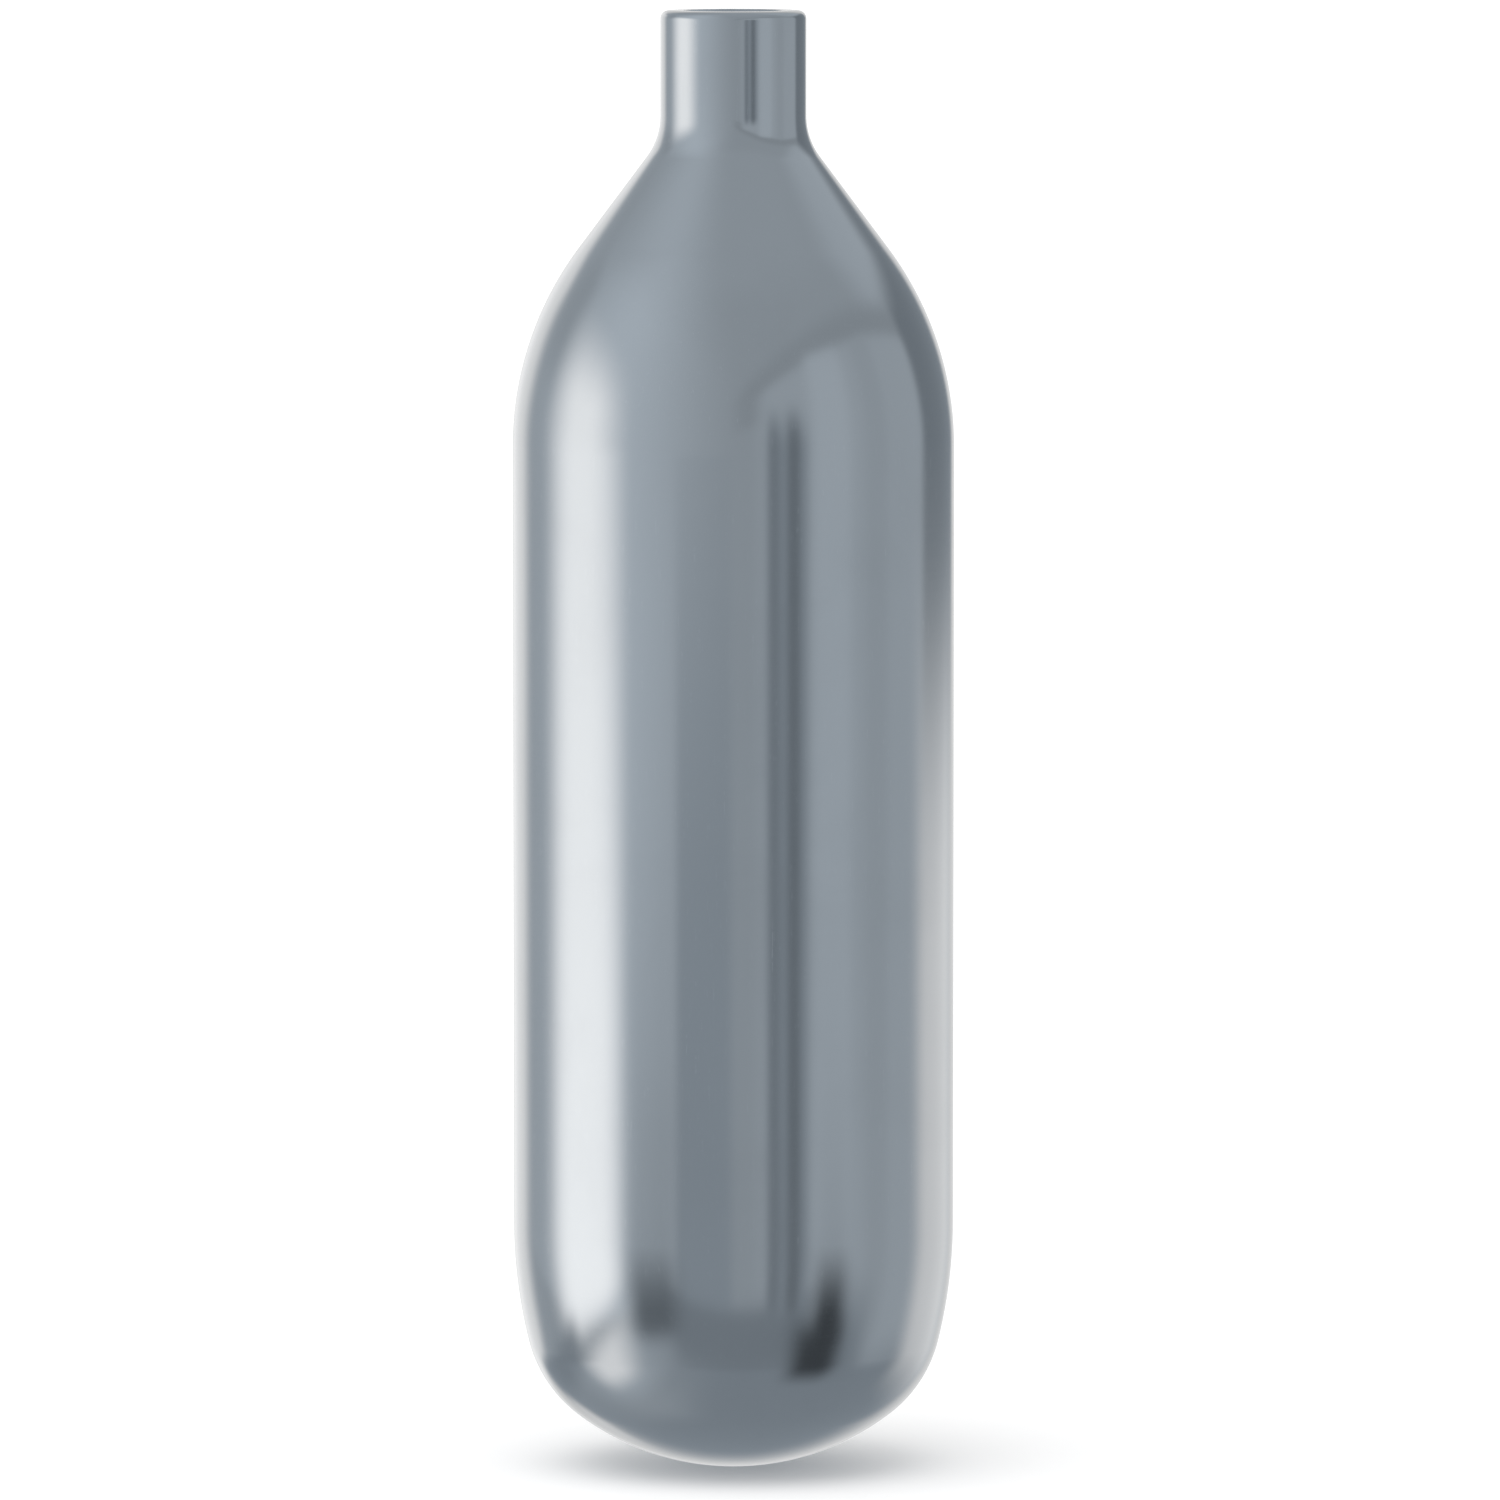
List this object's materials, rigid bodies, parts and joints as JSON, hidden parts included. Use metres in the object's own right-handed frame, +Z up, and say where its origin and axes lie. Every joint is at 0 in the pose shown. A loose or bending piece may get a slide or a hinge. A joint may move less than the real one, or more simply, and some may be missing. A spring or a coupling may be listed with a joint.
{
  "type": "scuba tank",
  "caption": "Bare polished steel scuba cylinder with a straight neck, cone, round base, and a threaded, vented storage plug recessed in its mouth.",
  "frame": {"origin": "lowest point of the round base, on the tank's axis", "axes": "+Z up along the axis to the neck; the form is turned, and +X points to the mouths of the split rings"},
  "size_m": [0.1842, 0.1842, 0.6096],
  "materials": {
    "polished_steel": "bright polished steel, close to a mirror, with a cool grey tone",
    "brass": "turned brass",
    "stainless": "turned stainless steel",
    "seal_rubber": "matt black nitrile rubber",
    "sintered_bronze": "grainy sintered bronze"
  },
  "bodies": {
    "cylinder": {"cylinder_shell": "polished_steel"},
    "neck_seal": {"neck_o_ring": "seal_rubber"},
    "plug": {"neck_plug": "brass", "vent_stop_ring": "stainless", "debris_filter": "sintered_bronze", "filter_ring": "stainless"},
    "vent_seal": {"vent_o_ring": "seal_rubber"},
    "vent": {"vent_screw": "stainless"}
  },
  "joints": [
    {"name": "plug_rise", "type": "slide", "parent": "cylinder", "child": "neck_seal", "axis": [0, 0, 1], "range_m": [0, 0.0195]},
    {"name": "plug_turn", "type": "hinge", "parent": "neck_seal", "child": "plug", "pos_m": [0, 0, 0.6096], "axis": [0, 0, 1], "range_deg": [0, 3511]},
    {"name": "vent_rise", "type": "slide", "parent": "plug", "child": "vent_seal", "axis": [0, 0, 1], "range_m": [0, 0.0025]},
    {"name": "vent_turn", "type": "hinge", "parent": "vent_seal", "child": "vent", "pos_m": [0, 0, 0.5956], "axis": [0, 0, 1], "range_deg": [0, 721]}
  ],
  "couplings": [
    {"joint": "plug_turn", "follows": "plug_rise", "rad_per_m": 3141.6},
    {"joint": "vent_turn", "follows": "vent_rise", "rad_per_m": 5026.5}
  ]
}
